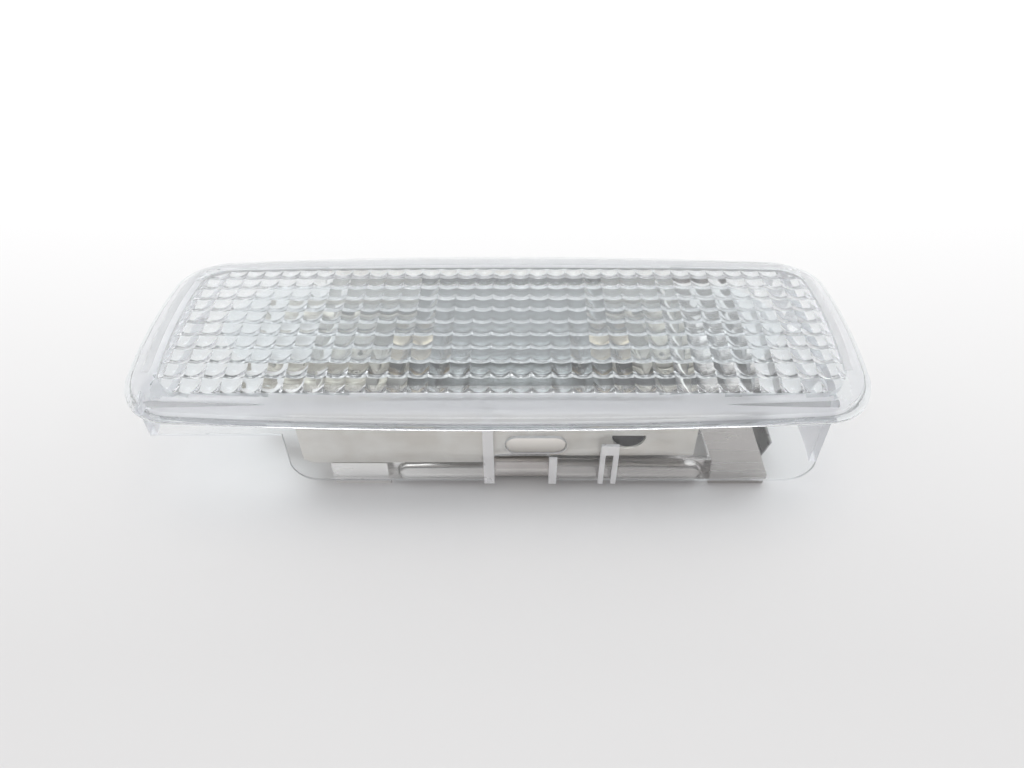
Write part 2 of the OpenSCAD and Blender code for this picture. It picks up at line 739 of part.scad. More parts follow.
module bracket() {
    mid0 = bracket_x0 + foot_l;
    mid1 = bracket_x1 - foot_l;
    mid_l = mid1 - mid0 + 2 * bracket_t;
    color([0.8, 0.8, 0.78]) {
        foot(bracket_x0);
        foot(mid1);
        difference() {
            translate([mid0 - bracket_t, -bead_y, web_z]) cube([mid_l, 2 * bead_y, bracket_t]);
            translate([bulb_x - web_window_l / 2, -web_window_w / 2, 0])
                cube([web_window_l, web_window_w, 4]);
        }
        for (x = [mid0 - bracket_t, mid1]) translate([x, -bead_y, 0])
            cube([bracket_t, 2 * bead_y, web_z + bracket_t]);
        for (side = [-1, 1]) {
            difference() {
                translate([mid0 - bracket_t, side * (bead_y - bracket_t / 2) - bracket_t / 2,
                    web_z]) cube([mid_l, bracket_t, bead_d + 0.1]);
                capsule(mid0 + bead_gap, mid1 - bead_gap, bead_r - bracket_t, side);
            }
            bead(side);
            y = side > 0 ? metal_y - bracket_t : -metal_y;
            translate([bracket_x0, y, 0]) cube([foot_l, bracket_t, low_h]);
            translate([mid1, y, 0]) flange_plate();
        }
        translate([bracket_x0, -metal_y, 0]) cube([bracket_t, 2 * metal_y, low_h]);
        translate([bracket_x0, -metal_y + foot_l / 2, 0])
            cube([bracket_t, 2 * metal_y - foot_l, floor_z]);
        translate([bracket_x1 - bracket_t, -metal_y, 0])
            cube([bracket_t, 2 * metal_y, end_lip_h]);
        for (y = [-key_y, key_y])
            translate([leaf_root_x - leaf_t - leaf_foot - 2 * leaf_gap - bracket_t,
                y - key_w / 2, 0]) cube([bracket_t, key_w, key_h]);
    }
}
flange_lean = 5;
flange_reach = 3.8;
flange_waist = 0.6;
flange_z = 3;
module flange_plate() {
    translate([0, bracket_t, 0]) rotate([90, 0, 0]) linear_extrude(bracket_t)
        polygon([[0, 0], [foot_l, 0], [foot_l, flange_z], [foot_l - flange_lean, flange_h],
            [-flange_reach, flange_h], [-flange_waist, bracket_t + low_h]]);
}

// Leaf spring tucked into the right end of the bracket: short foot, upright blade, knee and
// a free end that leans back
leaf_gap = 0.3;
leaf_root_x = bracket_x1 - bracket_t - leaf_gap;
leaf_foot = 1.6;
leaf_bend_z = 2.6;
leaf_rise = 6.8;
leaf_back_x = 1.2;
knee = 1.7;
module leaf_spring() {
    x = leaf_root_x - leaf_t;
    z = bracket_t + leaf_gap;
    color([0.5, 0.5, 0.5]) rotate([90, 0, 0]) linear_extrude(leaf_w, center = true)
        polygon([[x - leaf_foot, z], [x + leaf_t, z], [x + leaf_t, leaf_bend_z],
            [x + leaf_t + knee, knee_z], [x + leaf_t - leaf_back_x, knee_z + leaf_rise],
            [x - leaf_back_x, knee_z + leaf_rise - leaf_t / 2], [x + knee, knee_z],
            [x, leaf_bend_z], [x, z + leaf_t], [x - leaf_foot, z + leaf_t]]);
}

lens_housing();
carrier();
reflector();
bulb_glass();
bulb_cap_left();
bulb_cap_right();
filament();
filament_leads();
contact_left();
contact_right();
terminal_left();
terminal_right();
insulator();
insulator_washer();
contact_rivets();
bracket();
leaf_spring();
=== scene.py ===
"""Car interior lamp: a clear pillow-optic moulding over a plated carrier, reflector and bulb."""
import math

import bmesh
import bpy
from mathutils import Matrix, Vector


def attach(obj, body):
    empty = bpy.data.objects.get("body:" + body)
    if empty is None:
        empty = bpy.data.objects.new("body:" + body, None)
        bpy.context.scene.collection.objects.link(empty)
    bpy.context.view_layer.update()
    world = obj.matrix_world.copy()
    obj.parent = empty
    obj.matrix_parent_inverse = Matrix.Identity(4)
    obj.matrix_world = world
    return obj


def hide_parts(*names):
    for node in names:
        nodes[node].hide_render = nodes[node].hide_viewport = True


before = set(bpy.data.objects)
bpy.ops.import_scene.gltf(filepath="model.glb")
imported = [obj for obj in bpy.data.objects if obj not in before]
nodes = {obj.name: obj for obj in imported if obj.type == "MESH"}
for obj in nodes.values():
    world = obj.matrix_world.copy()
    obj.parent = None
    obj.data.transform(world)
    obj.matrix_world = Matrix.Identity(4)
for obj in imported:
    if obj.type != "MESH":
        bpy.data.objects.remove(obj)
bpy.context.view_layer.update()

scene = bpy.context.scene

# Camera. The photograph was taken by hand from in front of the lamp and above it, from so near
# that the far long side looks clearly shorter than the near one. The square cells of the lens
# gave the place, the aim and the 27 mm lens. Lengths in this file are in millimetres.
MM = 0.001
eye = Vector((3.24, -104.54, 105.8)) * MM
aim = Vector((-0.0062, 0.7297, -0.6838)).normalized()
tilt = math.radians(-0.35)
level = aim.cross(Vector((0, 0, 1))).normalized()
upright = level.cross(aim)
right = level * math.cos(tilt) + upright * math.sin(tilt)
up = upright * math.cos(tilt) - level * math.sin(tilt)
camera_data = bpy.data.cameras.new("photo_camera")
camera_data.lens = 27
camera_data.sensor_width = 36
camera_data.clip_start = 0.005
camera_data.clip_end = 20
camera = bpy.data.objects.new("photo_camera", camera_data)
camera.location = eye
camera.rotation_mode = "QUATERNION"
camera.rotation_quaternion = Matrix((right, up, -aim)).transposed().to_quaternion()
scene.collection.objects.link(camera)
scene.camera = camera

# Clear moulding: the face. The whole lens is one piece of injection-moulded polycarbonate. Its
# face is slightly domed inside a sloping margin, and a lip hangs down all round. It is skinned
# here through rings, over the face, round the lip and back under the face.
face_l = 122.2
face_w = 45.8
lamp_h = 24.5
face_corner = 9.4
side_bow = 1.5
end_bow = 0.4
dome_r_y = 167
dome_r_x = 2900
edge_r = 1.1
face_h = 5.5
margin_drop = 1.8
margin_side = 5.7
margin_end = 4.6
face_t = 2.0
lip_w = 1.5
lip_round = 0.5
root_r = 0.4
margin_ease = 0.6
face_z0 = lamp_h - face_h


def dome(x, y):
    """Height of the face over a point."""
    return lamp_h - x * x / (2 * dome_r_x) - y * y / (2 * dome_r_y)


def bowed(length, width, corner, bow_x, bow_y, corner_steps=16, side_steps=40):
    """Outline of a rounded rectangle with bowed sides, counter-clockwise."""
    cx = length / 2 - bow_x - corner
    cy = width / 2 - bow_y - corner
    points = []
    for quarter in range(4):
        sx = 1 if quarter in (0, 3) else -1
        sy = 1 if quarter < 2 else -1
        for i in range(corner_steps + 1):
            turn = math.radians(90 * (quarter + i / corner_steps))
            points.append((sx * cx + corner * math.cos(turn), sy * cy + corner * math.sin(turn)))
        for i in range(1, side_steps):
            t = 1 - 2 * i / side_steps
            if quarter in (0, 2):
                side = 1 if quarter == 0 else -1
                points.append((side * t * cx, side * (width / 2 - bow_y + bow_y * (1 - t * t))))
            else:
                side = -1 if quarter == 1 else 1
                points.append((side * (length / 2 - bow_x + bow_x * (1 - t * t)), -side * t * cy))
    return points


def face_outline(inset):
    """Outline of the face, moved inward."""
    return bowed(face_l - 2 * inset, face_w - 2 * inset, face_corner - inset, end_bow, side_bow)


def margin_outline(share):
    """Outline between the rounded edge (share 0) and the inner end of the margin (share 1)."""
    side = edge_r + (margin_side - edge_r) * share
    end = edge_r + (margin_end - edge_r) * share
    return bowed(face_l - 2 * end, face_w - 2 * side, face_corner - end, end_bow, side_bow)


def new_piece(name, bm):
    """Object from a mesh in millimetres."""
    mesh = bpy.data.meshes.new(name)
    bm.to_mesh(mesh)
    bm.free()
    piece = bpy.data.objects.new(name, mesh)
    scene.collection.objects.link(piece)
    return piece


def skin(bm, rings):
    """Quads between rings of as many points each, or triangles where a ring is one point."""
    made = [[bm.verts.new(p) for p in ring] for ring in rings]
    for low, high in zip(made, made[1:]):
        n = max(len(low), len(high))
        for i in range(n):
            a, b = low[i % len(low)], low[(i + 1) % len(low)]
            c, d = high[(i + 1) % len(high)], high[i % len(high)]
            corners = [a, b, c, d] if len(low) > 1 and len(high) > 1 else (
                [a, b, c] if len(high) == 1 else [a, c, d])
            bm.faces.new(corners)
    return made


def at_height(points, height):
    """Lifts a flat outline to the height given over each of its points."""
    return [(x, y, height(x, y)) for x, y in points]


def scaled(points, share):
    """Shrinks an outline about the middle of the lamp."""
    return [(x * share, y * share) for x, y in points]


dome_shares = [0.04, 0.12, 0.2, 0.28, 0.36, 0.44, 0.52, 0.6, 0.68, 0.76, 0.84, 0.92, 0.97, 1]
margin_steps = 8
edge_turns = 8
root_turns = 4
under_start = 0.1
cap_rings = [[(0, 0, lamp_h)]]
cap_rings += [at_height(scaled(margin_outline(1), s), dome) for s in dome_shares]
for k in range(1, margin_steps + 1):
    share = k / margin_steps
    fall = margin_drop * share * share * (1 + margin_ease - margin_ease * share)
    cap_rings.append(at_height(margin_outline(1 - share), lambda x, y: dome(x, y) - fall))
for k in range(1, edge_turns + 1):
    turn = math.radians(90 * k / edge_turns)
    inset = edge_r * (1 - math.sin(turn))
    drop = margin_drop + edge_r * (1 - math.cos(turn))
    cap_rings.append(at_height(face_outline(inset), lambda x, y: dome(x, y) - drop))
for k in range(edge_turns + 1):
    turn = math.radians(90 * k / edge_turns)
    inset = lip_round * (1 - math.cos(turn))
    rise = lip_round * (1 - math.sin(turn))
    cap_rings.append(at_height(face_outline(inset), lambda x, y: face_z0 + rise))
for k in range(edge_turns + 1):
    turn = math.radians(90 * k / edge_turns)
    inset = lip_w - lip_round * (1 - math.sin(turn))
    rise = lip_round * (1 - math.cos(turn))
    cap_rings.append(at_height(face_outline(inset), lambda x, y: face_z0 + rise))


def ceiling(x, y):
    """Height of the underside of the face, the same all along the lamp."""
    return lamp_h - face_t - y * y / (2 * dome_r_y)


for k in range(root_turns + 1):
    turn = math.radians(90 * k / root_turns)
    inset = lip_w + root_r * (1 - math.cos(turn))
    drop = margin_drop + root_r * (1 - math.sin(turn))
    cap_rings.append(at_height(face_outline(inset), lambda x, y: ceiling(x, y) - drop))
for k in range(1, margin_steps + 1):
    share = k / margin_steps
    fall = margin_drop * (1 - share)
    cap_rings.append(at_height(margin_outline(under_start + (1 - under_start) * share),
                               lambda x, y: ceiling(x, y) - fall))
cap_rings += [at_height(scaled(margin_outline(1), s), ceiling)
              for s in reversed(dome_shares[:-1])]
cap_rings.append([(0, 0, lamp_h - face_t)])
cap_mesh = bmesh.new()
skin(cap_mesh, cap_rings)
bmesh.ops.recalc_face_normals(cap_mesh, faces=cap_mesh.faces)
moulding = new_piece("clear_moulding", cap_mesh)

# Clear moulding: the pillow optics. Rows of square cushions are moulded on the inside of the
# face, each a shallow dome on a thin plinth, to spread the light of the bulb. Near each end the
# plastic was shot in through a gate, which has washed out the cushions round it.
pitch = 3.3
columns = 35
rows = 10
cell_steps = 10
pillow_sag = 1.1
plinth = 0.6
optic_l = 111.9
optic_w = 33
optic_corner = 5
optic_x = 0.6
optic_y = 0.7
field_low = 15
field_high = 30
gate_x = 51.2
gate_y = -0.4
gate_reach_x = 1.9
gate_reach_y = 2.6
washed_share = 0.7
washed_level = 0.62


def gate_blur(x, y):
    """How far the gates have washed out the cushions at one place, from 0 to 1."""
    return max(0, 1 - ((abs(x) - gate_x) / gate_reach_x) ** 2
               - ((y - gate_y) / gate_reach_y) ** 2)


def pillow_z(i, j):
    """Underside of the optics at one grid point."""
    x = (i / cell_steps - columns / 2) * pitch + optic_x
    y = j / cell_steps * pitch - optic_w / 2 - optic_y
    u = 2 * (i % cell_steps) / cell_steps - 1
    v = 2 * (j % cell_steps) / cell_steps - 1
    depth = pillow_sag * (1 - (u * u + v * v) / 2)
    blur = washed_share * gate_blur(x, y)
    depth = plinth + depth * (1 - blur) + washed_level * pillow_sag * blur
    return x, y, ceiling(x, y) - depth


# One grid of points makes all the cushions. Side walls and a lid close it inside the face.
optics_mesh = bmesh.new()
under_grid = [[optics_mesh.verts.new(pillow_z(i, j)) for j in range(rows * cell_steps + 1)]
              for i in range(columns * cell_steps + 1)]
top_grid = [[optics_mesh.verts.new((v.co.x, v.co.y, ceiling(0, v.co.y) + face_t / 4))
             for v in (row if i in (0, len(under_grid) - 1) else (row[0], row[-1]))]
            for i, row in enumerate(under_grid)]
for i in range(len(under_grid) - 1):
    a, b = under_grid[i], under_grid[i + 1]
    for j in range(len(a) - 1):
        optics_mesh.faces.new([a[j], a[j + 1], b[j + 1], b[j]])
    for near, edge in ((0, 0), (-1, -1)):
        low_a, low_b = a[near], b[near]
        high_a, high_b = top_grid[i][edge], top_grid[i + 1][edge]
        optics_mesh.faces.new([low_a, low_b, high_b, high_a])
for i in (0, -1):
    low, high = under_grid[i], top_grid[i]
    for j in range(len(low) - 1):
        optics_mesh.faces.new([low[j], low[j + 1], high[j + 1], high[j]])
lid = (top_grid[0] + [row[-1] for row in top_grid[1:-1]] + list(reversed(top_grid[-1]))
       + [row[0] for row in reversed(top_grid[1:-1])])
optics_mesh.faces.new(lid)
bmesh.ops.triangulate(optics_mesh, faces=[f for f in optics_mesh.faces if len(f.verts) > 4])
bmesh.ops.recalc_face_normals(optics_mesh, faces=optics_mesh.faces)
optics = new_piece("optics", optics_mesh)


def closed_skin(rings):
    """Closed mesh through rings, with a flat end over the first and the last."""
    bm = bmesh.new()
    made = skin(bm, rings)
    bm.faces.new(list(reversed(made[0])))
    bm.faces.new(made[-1])
    return bm


def combine(piece, other, operation):
    """Joins, cuts or trims one closed mesh with another and deletes the other."""
    modifier = piece.modifiers.new(operation, "BOOLEAN")
    modifier.object = other
    modifier.operation = operation
    modifier.solver = "MANIFOLD"
    bpy.context.view_layer.update()
    shaped = bpy.data.meshes.new_from_object(
        piece.evaluated_get(bpy.context.evaluated_depsgraph_get()))
    piece.modifiers.clear()
    piece.data = shaped
    bpy.data.objects.remove(other)


# The field of cushions ends in a rounded outline with bowed sides.
field = [(x + optic_x, y - optic_y)
         for x, y in bowed(optic_l, optic_w, optic_corner, end_bow, side_bow / 3)]
field_block = closed_skin([[(x, y, z) for x, y in field] for z in (field_low, field_high)])
combine(optics, new_piece("field", field_block), "INTERSECT")

# Clear moulding: the walls. They hang from the face as plates with slightly rounded edges: a
# shallow skirt over the plug at the left, and a deep box round the carrier, with a release notch,
# guide ribs, a window for the carrier's latch pad and one in the right-hand end for a catch.
wall = 1.2
box_y = 18.7
skirt_x = -57
skirt_z = 13.6
box_x0 = -35.4
box_x1 = 53.9
box_z = 2.2
box_corner = 4.5
notch_x = -0.6
notch_w = 9.3
notch_z = 8.6
notch_r = 0.5
rib_w = 0.9
rib_out = 0.6
rib_round = 0.12
rib_shy = 0.02
pair_x = 17.2
pair_gap = 2.2
pair_z = 9.9
bridge_z0 = 9.5
bridge_z1 = 11.7
pad_x = 6.4
pad_z = 11.2
pad_l = 10.3
pad_w = 3.9
catch_w = 18
catch_z = 15
edge_round = 0.22
wall_round = 0.3
buried = 0.05
cut_depth = 3
wall_sunk = 1.9
rib_sunk = 0.5
wall_top = lamp_h - face_t - wall_sunk
rib_top = wall_top - rib_sunk


def inset_outline(points, distance):
    """The outline moved inward, corner by corner."""
    moved = []
    for i, (x, y) in enumerate(points):
        last_x, last_y = points[i - 1]
        next_x, next_y = points[(i + 1) % len(points)]
        before = Vector((last_y - y, x - last_x)).normalized()
        after = Vector((y - next_y, next_x - x)).normalized()
        middle = (before + after).normalized()
        reach = distance / max(0.3, middle.dot(before))
        moved.append((x + middle.x * reach, y + middle.y * reach))
    return moved


def plate(points, thickness, place, rounding=edge_round, turns=3):
    """Plate of an outline, drawn counter-clockwise, with rounded edges on both sides."""
    rings = []
    for side in (-1, 1):
        for k in range(turns + 1) if side < 0 else range(turns, -1, -1):
            turn = math.radians(90 * k / turns)
            inset = rounding * (1 - math.sin(turn))
            depth = side * (thickness / 2 - rounding * (1 - math.cos(turn)))
            rings.append([place(u, v, depth) for u, v in inset_outline(points, inset)])
    bm = closed_skin(rings)
    bmesh.ops.recalc_face_normals(bm, faces=bm.faces)
    return bm


def arc(cx, cz, r, start, end, steps=10):
    """Points on an arc between two angles in degrees."""
    return [(cx + r * math.cos(math.radians(start + (end - start) * i / steps)),
             cz + r * math.sin(math.radians(start + (end - start) * i / steps)))
            for i in range(steps + 1)]


def box_outline(x0, x1, z0, z1):
    """Corners of a rectangle, counter-clockwise."""
    return [(x0, z0), (x1, z0), (x1, z1), (x0, z1)]


long_wall = (
    [(skirt_x + 0.1, wall_top), (skirt_x + 0.1, skirt_z), (box_x0, skirt_z)]
    + arc(box_x0 + box_corner, box_z + box_corner, box_corner, 180, 270)
    + [(notch_x, box_z)]
    + arc(notch_x + notch_r, notch_z - notch_r, notch_r, 180, 90, 4)
    + arc(notch_x + notch_w - notch_r, notch_z - notch_r, notch_r, 90, 0, 4)
    + [(notch_x + notch_w, box_z)]
    + arc(box_x1 - box_corner, box_z + box_corner, box_corner, 270, 360)
    + [(box_x1, wall_top)])
latch_window = (arc(pad_x + (pad_l - pad_w) / 2, pad_z, pad_w / 2, -90, 90)
                + arc(pad_x - (pad_l - pad_w) / 2, pad_z, pad_w / 2, 90, 270))
for side in (-1, 1):
    def on_side(x, z, depth, side=side):
        return x, side * (box_y - wall / 2) - depth, z

    def on_rib(x, z, depth, side=side):
        return x, side * (box_y + rib_out / 2 - buried) - depth, z

    combine(moulding, new_piece("long_wall", plate(long_wall, wall, on_side, wall_round)), "UNION")
    if side < 0:
        combine(moulding, new_piece("latch_window", plate(latch_window, cut_depth, on_side)),
                "DIFFERENCE")
    for x0, x1, z0, z1 in (
            (notch_x - 2 * rib_w, notch_x, box_z + rib_shy, rib_top),
            (notch_x + notch_w, notch_x + notch_w + 1.5 * rib_w, box_z - rib_shy, notch_z),
            (pair_x, pair_x + rib_w, box_z - rib_shy, pair_z),
            (pair_x + pair_gap, pair_x + pair_gap + rib_w, box_z - rib_shy, pair_z),
            (pair_x + buried, pair_x + pair_gap + rib_w - buried, bridge_z0, bridge_z1)):
        rib = plate(box_outline(x0, x1, z0, z1), rib_out + 2 * buried, on_rib, rib_round)
        combine(moulding, new_piece("rib", rib), "UNION")


def on_end(x):
    """Places a plate across the lamp."""
    return lambda y, z, depth: (x + depth, y, z)


end_y = box_y - buried
end_z = box_z + box_corner
left_end = box_outline(-end_y, end_y, skirt_z + 0.01, wall_top)
right_end = [(-end_y, end_z), (-catch_w / 2, end_z), (-catch_w / 2, catch_z),
             (catch_w / 2, catch_z), (catch_w / 2, end_z), (end_y, end_z),
             (end_y, wall_top), (-end_y, wall_top)]
for name, outline, middle in (("left_end", left_end, skirt_x + wall / 2),
                              ("right_end", right_end, box_x1 - wall / 2)):
    combine(moulding, new_piece(name, plate(outline, wall, on_end(middle))), "UNION")
combine(moulding, optics, "UNION")

# A level cut through the mesh lets the walls turn cloudy a little below the face.
cloudy_from = face_z0 - 0.4
split = bmesh.new()
split.from_mesh(moulding.data)
bmesh.ops.bisect_plane(split, geom=split.verts[:] + split.edges[:] + split.faces[:],
                       plane_co=(0, 0, cloudy_from), plane_no=(0, 0, 1))
split.to_mesh(moulding.data)
split.free()
moulding.data.transform(Matrix.Scale(MM, 4))
moulding.data.polygons.foreach_set("use_smooth", [True] * len(moulding.data.polygons))
moulding.data.set_sharp_from_angle(angle=math.radians(28))


def make_material(name, colour, metallic, roughness):
    """Material with one Principled shader, its sockets set to plain values."""
    material = bpy.data.materials.new(name)
    material.use_nodes = True
    tree = material.node_tree
    shader = tree.nodes["Principled BSDF"]
    shader.inputs["Base Color"].default_value = (*colour, 1)
    shader.inputs["Metallic"].default_value = metallic
    shader.inputs["Roughness"].default_value = roughness
    return material, tree, shader


def let_lamps_through(material, tint):
    """Lets the light of the studio lamp pass a clear wall to what lies behind it."""
    tree = material.node_tree
    output = tree.nodes["Material Output"]
    shader = tree.nodes["Principled BSDF"]
    clear = tree.nodes.new("ShaderNodeBsdfTransparent")
    clear.inputs["Color"].default_value = (*tint, 1)
    path = tree.nodes.new("ShaderNodeLightPath")
    mix = tree.nodes.new("ShaderNodeMixShader")
    tree.links.new(path.outputs["Is Shadow Ray"], mix.inputs[0])
    tree.links.new(shader.outputs[0], mix.inputs[1])
    tree.links.new(clear.outputs[0], mix.inputs[2])
    tree.links.new(mix.outputs[0], output.inputs["Surface"])


# Grain. Every surface of the lamp varies a little: in tone, in gloss, and in fine lines that
# rolling, drawing or moulding leaves along it. One node group makes all three for every finish.
grain_group = bpy.data.node_groups.new("surface_grain", "ShaderNodeTree")
for name, kind, value in (
        ("Tones per m", "NodeSocketFloat", 300), ("Dark", "NodeSocketColor", (0.4, 0.4, 0.4, 1)),
        ("Light", "NodeSocketColor", (0.6, 0.6, 0.6, 1)), ("Gloss per m", "NodeSocketFloat", 300),
        ("Smooth", "NodeSocketFloat", 0.2), ("Rough", "NodeSocketFloat", 0.4),
        ("Lines per m", "NodeSocketFloat", 4000), ("Depth", "NodeSocketFloat", 0),
        ("Stretch", "NodeSocketVector", (1, 1, 1))):
    grain_group.interface.new_socket(name, in_out="INPUT", socket_type=kind).default_value = value
for name, kind in (("Colour", "NodeSocketColor"), ("Gloss", "NodeSocketFloat"),
                   ("Normal", "NodeSocketVector")):
    grain_group.interface.new_socket(name, in_out="OUTPUT", socket_type=kind)
given = grain_group.nodes.new("NodeGroupInput")
made = grain_group.nodes.new("NodeGroupOutput")
place = grain_group.nodes.new("ShaderNodeTexCoord")
drawn = grain_group.nodes.new("ShaderNodeMapping")
grain_group.links.new(place.outputs["Object"], drawn.inputs["Vector"])
grain_group.links.new(given.outputs["Stretch"], drawn.inputs["Scale"])
blobs = {}
for name, source in (("Tones per m", place.outputs["Object"]),
                     ("Gloss per m", drawn.outputs["Vector"]),
                     ("Lines per m", drawn.outputs["Vector"])):
    blobs[name] = grain_group.nodes.new("ShaderNodeTexNoise")
    blobs[name].inputs["Detail"].default_value = 3
    grain_group.links.new(source, blobs[name].inputs["Vector"])
    grain_group.links.new(given.outputs[name], blobs[name].inputs["Scale"])
toned = grain_group.nodes.new("ShaderNodeMapRange")
toned.inputs["From Min"].default_value = 0.35
toned.inputs["From Max"].default_value = 0.65
grain_group.links.new(blobs["Tones per m"].outputs["Fac"], toned.inputs["Value"])
colours = grain_group.nodes.new("ShaderNodeMix")
colours.data_type = "RGBA"
grain_group.links.new(toned.outputs["Result"], colours.inputs[0])
grain_group.links.new(given.outputs["Dark"], colours.inputs[6])
grain_group.links.new(given.outputs["Light"], colours.inputs[7])
grain_group.links.new(colours.outputs[2], made.inputs["Colour"])
glossed = grain_group.nodes.new("ShaderNodeMapRange")
glossed.inputs["From Min"].default_value = 0.3
glossed.inputs["From Max"].default_value = 0.7
grain_group.links.new(blobs["Gloss per m"].outputs["Fac"], glossed.inputs["Value"])
grain_group.links.new(given.outputs["Smooth"], glossed.inputs["To Min"])
grain_group.links.new(given.outputs["Rough"], glossed.inputs["To Max"])
grain_group.links.new(glossed.outputs["Result"], made.inputs["Gloss"])
raised = grain_group.nodes.new("ShaderNodeBump")
raised.inputs["Strength"].default_value = 0.4
grain_group.links.new(blobs["Lines per m"].outputs["Fac"], raised.inputs["Height"])
grain_group.links.new(given.outputs["Depth"], raised.inputs["Distance"])
grain_group.links.new(raised.outputs["Normal"], made.inputs["Normal"])


def add_grain(tree, shader, gloss, tones=None, lines=None, stretch=(1, 1, 1)):
    """Gloss is (per mm, smooth, rough), tones (per mm, dark, light), lines (per mm, depth)."""
    grain = tree.nodes.new("ShaderNodeGroup")
    grain.node_tree = grain_group
    grain.inputs["Stretch"].default_value = stretch
    grain.inputs["Gloss per m"].default_value = gloss[0] / MM
    grain.inputs["Smooth"].default_value = gloss[1]
    grain.inputs["Rough"].default_value = gloss[2]
    tree.links.new(grain.outputs["Gloss"], shader.inputs["Roughness"])
    if tones:
        grain.inputs["Tones per m"].default_value = tones[0] / MM
        grain.inputs["Dark"].default_value = (*tones[1], 1)
        grain.inputs["Light"].default_value = (*tones[2], 1)
        tree.links.new(grain.outputs["Colour"], shader.inputs["Base Color"])
    if lines:
        grain.inputs["Lines per m"].default_value = lines[0] / MM
        grain.inputs["Depth"].default_value = lines[1] * MM
        tree.links.new(grain.outputs["Normal"], shader.inputs["Normal"])


def make_plastic(name, colour, transmission, passed, gloss, lines=None, stretch=(1, 1, 1)):
    """Polycarbonate; passed is the tint of the studio lamp's light that goes through."""
    material, tree, shader = make_material(name, colour, 0, gloss[1])
    shader.inputs["Transmission Weight"].default_value = transmission
    shader.inputs["IOR"].default_value = 1.5
    add_grain(tree, shader, gloss, None, lines, stretch)
    let_lamps_through(material, passed)
    return material


# Clear moulding: the finish. The mould was polished for the lens and the walls, and left dull
# inside the sloping margin and the lip, so those are cloudy. The edges of the walls and the ribs
# are whiter, and the left front corner of the rim is scuffed from handling. The inward faces of
# the lip beyond the box walls and the front face of the lip are tinted darker grey: painted shade.
clear_plastic = make_plastic("clear_polycarbonate", (0.875, 0.897, 0.907), 0.95,
                             (0.88, 0.9, 0.91), (0.25, 0.03, 0.1))
cloudy = make_plastic("cloudy_polycarbonate", (0.96, 0.955, 0.975), 0.6, (0.8, 0.81, 0.83),
                      (0.6, 0.35, 0.55), (1.2, 0.03), (0.04, 1, 1))
wall_edge_plastic = make_plastic("ground_edge_polycarbonate", (0.98, 0.975, 0.985), 0.3,
                                 (0.86, 0.87, 0.88), (0.3, 0.26, 0.36))
wall_plastic = make_plastic("clear_wall_polycarbonate", (0.97, 0.975, 0.975), 0.985,
                            (0.93, 0.94, 0.945), (0.25, 0.015, 0.05))
# The inward faces of the lip are tinted a darker grey: painted shade.
inner_lip_painted_shade = make_plastic("shaded_lip_polycarbonate", (0.62, 0.62, 0.64), 0.7,
                                 (0.85, 0.86, 0.87), (0.5, 0.2, 0.4), None, (0.2, 1, 1))
# The front face of the lip is tinted darker grey than the other clear plastic: painted shade.
front_lip_painted_shade = make_plastic("lip_polycarbonate", (0.76, 0.775, 0.8), 0.93, (0.85, 0.86, 0.87),
                           (0.4, 0.03, 0.14), (0.6, 0.03), (0.08, 1, 2))
scuff_place = (-58, -19.5, 21)
scuff_reach = 6
scuff_core = 1
scuff_depth = 0.25
tree = clear_plastic.node_tree
scuff = tree.nodes.new("ShaderNodeVectorMath")
scuff.operation = "DISTANCE"
scuff.inputs[1].default_value = Vector(scuff_place) * MM
place = tree.nodes.new("ShaderNodeTexCoord")
tree.links.new(place.outputs["Object"], scuff.inputs[0])
near_scuff = tree.nodes.new("ShaderNodeMapRange")
near_scuff.inputs["From Min"].default_value = scuff_reach * MM
near_scuff.inputs["From Max"].default_value = scuff_core * MM
tree.links.new(scuff.outputs["Value"], near_scuff.inputs["Value"])
drawn = tree.nodes.new("ShaderNodeMapping")
drawn.inputs["Scale"].default_value = (2, 0.3, 1.5)
tree.links.new(place.outputs["Object"], drawn.inputs["Vector"])
marks = tree.nodes.new("ShaderNodeTexNoise")
marks.inputs["Scale"].default_value = 1200
tree.links.new(drawn.outputs["Vector"], marks.inputs["Vector"])
scratches = tree.nodes.new("ShaderNodeMath")
scratches.operation = "MULTIPLY"
tree.links.new(near_scuff.outputs["Result"], scratches.inputs[0])
tree.links.new(marks.outputs["Fac"], scratches.inputs[1])
scratched = tree.nodes.new("ShaderNodeBump")
scratched.inputs["Distance"].default_value = scuff_depth * MM
scratched.inputs["Strength"].default_value = 0.8
tree.links.new(scratches.outputs["Value"], scratched.inputs["Height"])
tree.links.new(scratched.outputs["Normal"], tree.nodes["Principled BSDF"].inputs["Normal"])
finishes = [clear_plastic, cloudy, wall_edge_plastic, wall_plastic, inner_lip_painted_shade, front_lip_painted_shade]
moulding.data.materials.clear()
for material in finishes:
    moulding.data.materials.append(material)

